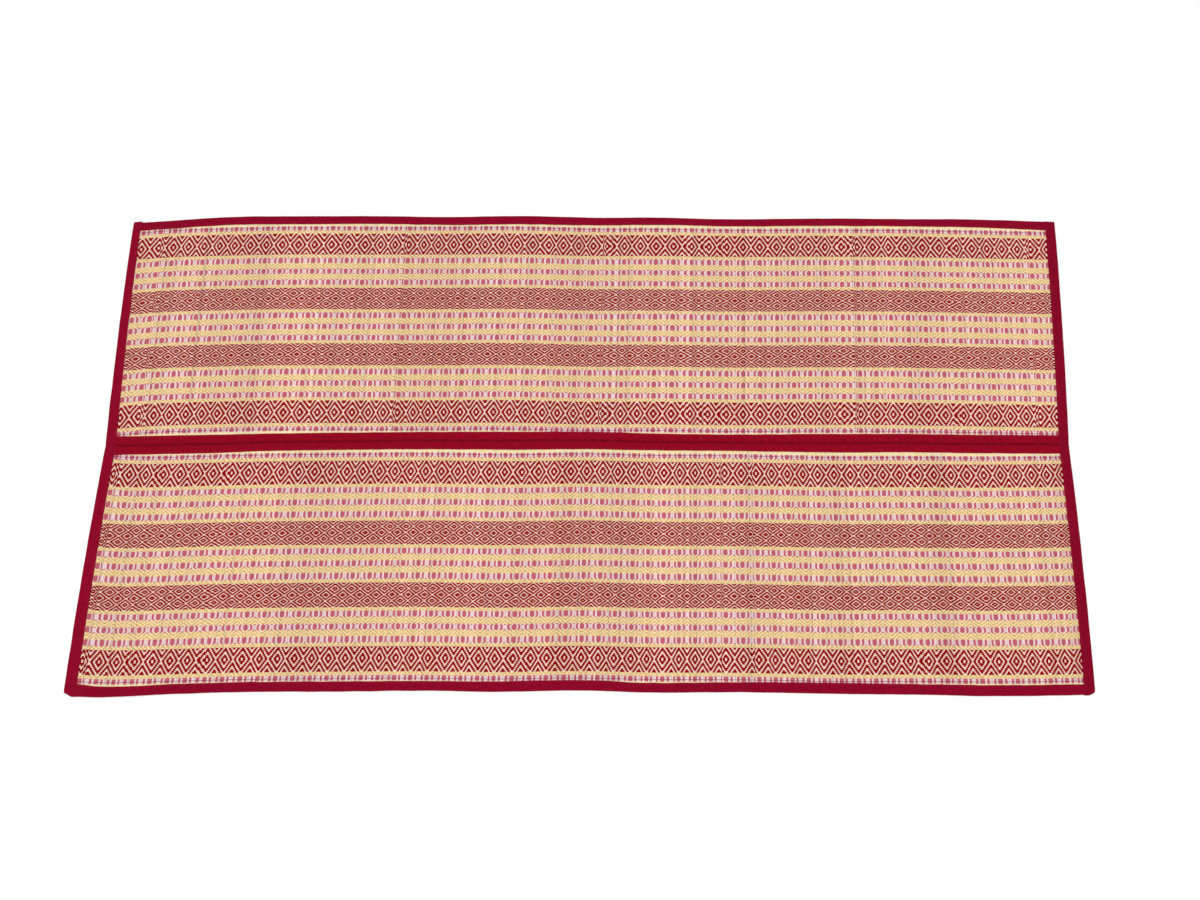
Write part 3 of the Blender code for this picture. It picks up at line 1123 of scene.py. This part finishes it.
def sew_fold_strip(cloth):
    start, stop = between_ends(0.0, -TUCKED)
    material = cloth_material("fold_hinge_strip cloth", cloth.fold_crimson, 0.04)
    for upper, name in ((True, "fold_hinge_strip_cloth"), (False, "fold_hinge_strip_under")):
        layer = lay_strip(
            name,
            spaced(start, stop, LONG_STEPS if upper else UNDER_STEPS),
            lambda x, upper=upper: fold_strip_section(x, cloth, upper, 40),
            material,
            cloth,
            6,
        )
    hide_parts("fold_hinge_strip")


def stitch_shape(length, thread):
    """One stitch: a short length of thread that dips into the cloth at both ends."""
    dip, taper = 1.1, 0.35
    bm = bmesh.new()
    made = bmesh.ops.create_cone(
        bm, cap_ends=True, segments=6, radius1=thread / 2, radius2=thread / 2, depth=length
    )
    lying = Matrix.Rotation(math.pi / 2, 3, "Y")
    bmesh.ops.rotate(bm, verts=made["verts"], cent=(0, 0, 0), matrix=lying)
    ribs = [edge for edge in bm.edges if abs(edge.verts[0].co.x - edge.verts[1].co.x) > length / 2]
    bmesh.ops.subdivide_edges(bm, edges=ribs, cuts=3, use_grid_fill=True)
    for vert in bm.verts:
        out = abs(vert.co.x) / (length / 2)
        vert.co.z -= thread * dip * out**4
        vert.co.y *= 1 - taper * out**2
    for face in bm.faces:
        face.smooth = True
    return mesh_from(bm, "one stitch")


def sew_seam(name, line, cloth):
    """Stitches along a line of points on the cloth, each turned along the line."""
    shape = stitch_shape(cloth.stitch_length, cloth.thread)
    bm = bmesh.new()
    luck = random.Random(len(line))
    travelled, due = 0.0, cloth.stitch_pitch / 2
    for start, stop in zip(line, line[1:]):
        a, b = Vector(start), Vector(stop)
        span = (b - a).length
        while due < travelled + span:
            at = a.lerp(b, (due - travelled) / span)
            aslant = luck.uniform(-STITCH_ASLANT, STITCH_ASLANT)
            angle = math.atan2(b.y - a.y, b.x - a.x) + aslant
            before = len(bm.verts)
            bm.from_mesh(shape)
            bm.verts.ensure_lookup_table()
            turn = Matrix.Translation(at) @ Matrix.Rotation(angle, 4, "Z")
            bmesh.ops.transform(bm, matrix=turn, verts=bm.verts[before:])
            due += cloth.stitch_pitch * luck.uniform(*STITCH_SPACING)
        travelled += span
    bpy.data.meshes.remove(shape)
    material = bpy.data.materials.get("sewing thread")
    material = material or yarn_material("sewing thread", cloth.thread_colour)
    new_piece(name, bm, material)


def seam_height(cloth):
    """How high the middle of a stitch's thread lies in the groove of its seam."""
    return cloth.height - SEAM_DEPTH + cloth.thread * 0.30


def long_seam_line(side, column, cloth):
    """Points of a lengthwise seam, beside the hem of an edge strip or of the fold strip."""
    at_fold = column == "fold_cloth"
    start, stop = between_ends(0.0 if at_fold else side * SIDE, SEAM_CLEAR)
    line = []
    for x in spaced(start, stop, LONG_STEPS):
        shown = lie_at(x, column) * MM
        if at_fold:
            out = shown / 2 - cloth.stitch_inset
        else:
            out = SIDE - (shown - cloth.stitch_inset)
        line.append((*lay(x, side * out), seam_height(cloth)))
    return line


def end_seam_line(strip, cloth):
    """Points of the seam beside an end strip's hem, which dips where the mat folds."""
    line = []
    for y in spaced(-SIDE + 0.003, SIDE - 0.003, 240):
        inward = end_cloth_width(strip, y) - cloth.stitch_inset
        z = seam_height(cloth) * (1 - END_PRESS * bell(y, END_CREASE))
        line.append((*lay(strip.side * (END - inward), y), z))
    return line


class GRASSMAT_OT_weave_panels(bpy.types.Operator):
    """Weave both grass panels"""

    bl_idname = "grassmat.weave_panels"
    bl_label = "Weave Panels"

    def execute(self, context):
        for panel in PANELS:
            weave_panel(panel, context.scene.grass_mat_weave)
        return {"FINISHED"}


class GRASSMAT_OT_sew_edge_bindings(bpy.types.Operator):
    """Fold the crimson bindings round both long edges"""

    bl_idname = "grassmat.sew_edge_bindings"
    bl_label = "Sew Edge Bindings"

    def execute(self, context):
        cloth = context.scene.grass_mat_cloth
        sew_edge_strip("edge_binding_far", 1, "far_cloth", cloth, 11)
        sew_edge_strip("edge_binding_near", -1, "near_cloth", cloth, 21)
        return {"FINISHED"}


class GRASSMAT_OT_sew_fold_strip(bpy.types.Operator):
    """Lay the fold strip over and under both panels, creased in the middle"""

    bl_idname = "grassmat.sew_fold_strip"
    bl_label = "Sew Fold Strip"

    def execute(self, context):
        sew_fold_strip(context.scene.grass_mat_cloth)
        return {"FINISHED"}


class GRASSMAT_OT_sew_end_bindings(bpy.types.Operator):
    """Fold the crimson bindings round the panels' ends"""

    bl_idname = "grassmat.sew_end_bindings"
    bl_label = "Sew End Bindings"

    def execute(self, context):
        for seed, strip in zip((61, 71), END_STRIPS):
            sew_end_strip(strip, context.scene.grass_mat_cloth, seed)
        return {"FINISHED"}


class GRASSMAT_OT_stitch_seams(bpy.types.Operator):
    """Stitch every strip down along its hems"""

    bl_idname = "grassmat.stitch_seams"
    bl_label = "Stitch Seams"

    def execute(self, context):
        cloth = context.scene.grass_mat_cloth
        for side, place in ((1, "far"), (-1, "near")):
            line = long_seam_line(side, place + "_cloth", cloth)
            sew_seam("stitches_edge_" + place, line, cloth)
            line = long_seam_line(side, "fold_cloth", cloth)
            sew_seam("stitches_fold_" + place, line, cloth)
        for strip in END_STRIPS:
            name = strip.name.replace("end_binding", "stitches_end")
            sew_seam(name, end_seam_line(strip, cloth), cloth)
        return {"FINISHED"}


class GRASSMAT_OT_set_stage(bpy.types.Operator):
    """Pale floor, soft light and the camera"""

    bl_idname = "grassmat.set_stage"
    bl_label = "Set Stage"

    def execute(self, context):
        stage = context.scene.grass_mat_stage
        scene = context.scene
        bm = bmesh.new()
        bmesh.ops.create_grid(bm, x_segments=1, y_segments=1, size=30.0)
        floor = put_in_scene("floor", mesh_from(bm, "floor"))
        material, w, shader = blank_material("pale floor", 0.9)
        place = w.node("ShaderNodeTexCoord").outputs["Object"]
        shade = w.stretch(w.grain(place, 3.0), 0.0, 1.0, 0.995, 1.0)
        w.feed(shader.inputs["Base Color"], w.dim(stage.floor, shade))
        floor.data.materials.append(material)
        floor.location.z = -0.0002

        world = bpy.data.worlds.new("even light")
        world.use_nodes = True
        background = world.node_tree.nodes["Background"]
        background.inputs["Color"].default_value = (1.0, 1.0, 1.0, 1.0)
        background.inputs["Strength"].default_value = stage.sky
        scene.world = world

        lamp_data = bpy.data.lights.new("soft lamp", "AREA")
        lamp_data.shape = "RECTANGLE"
        lamp_data.size, lamp_data.size_y = 3.0, 2.0
        lamp_data.energy = stage.lamp
        lamp = put_in_scene("soft lamp", lamp_data)
        lamp.location = (0.15, -0.3, 3.0)

        camera_data = bpy.data.cameras.new("camera")
        camera_data.lens = stage.lens
        camera_data.shift_x = stage.shift
        camera = put_in_scene("camera", camera_data)
        camera.location = stage.place
        camera.rotation_euler = stage.turn
        scene.camera = camera
        scene.view_settings.view_transform = "Standard"
        return {"FINISHED"}


class GRASSMAT_PT_sidebar(bpy.types.Panel):
    bl_idname = "GRASSMAT_PT_sidebar"
    bl_label = "Grass Mat"
    bl_space_type = "VIEW_3D"
    bl_region_type = "UI"
    bl_category = "Grass Mat"

    def draw(self, context):
        for settings in ("grass_mat_weave", "grass_mat_cloth", "grass_mat_stage"):
            box = self.layout.box()
            group = getattr(context.scene, settings)
            for name in group.__annotations__:
                box.prop(group, name)
        for operator in OPERATORS:
            self.layout.operator(operator.bl_idname)


SETTINGS = (
    ("grass_mat_weave", GrassMatWeave),
    ("grass_mat_cloth", GrassMatCloth),
    ("grass_mat_stage", GrassMatStage),
)
OPERATORS = (
    GRASSMAT_OT_weave_panels,
    GRASSMAT_OT_sew_edge_bindings,
    GRASSMAT_OT_sew_fold_strip,
    GRASSMAT_OT_sew_end_bindings,
    GRASSMAT_OT_stitch_seams,
    GRASSMAT_OT_set_stage,
)


def register():
    for name, group in SETTINGS:
        bpy.utils.register_class(group)
        setattr(bpy.types.Scene, name, bpy.props.PointerProperty(type=group))
    for operator in OPERATORS:
        bpy.utils.register_class(operator)
    bpy.utils.register_class(GRASSMAT_PT_sidebar)


def unregister():
    bpy.utils.unregister_class(GRASSMAT_PT_sidebar)
    for operator in reversed(OPERATORS):
        bpy.utils.unregister_class(operator)
    for name, group in reversed(SETTINGS):
        delattr(bpy.types.Scene, name)
        bpy.utils.unregister_class(group)


def main():
    register()
    bpy.ops.grassmat.weave_panels()
    bpy.ops.grassmat.sew_edge_bindings()
    bpy.ops.grassmat.sew_fold_strip()
    bpy.ops.grassmat.sew_end_bindings()
    bpy.ops.grassmat.stitch_seams()
    bpy.ops.grassmat.set_stage()


if __name__ == "__main__":
    main()
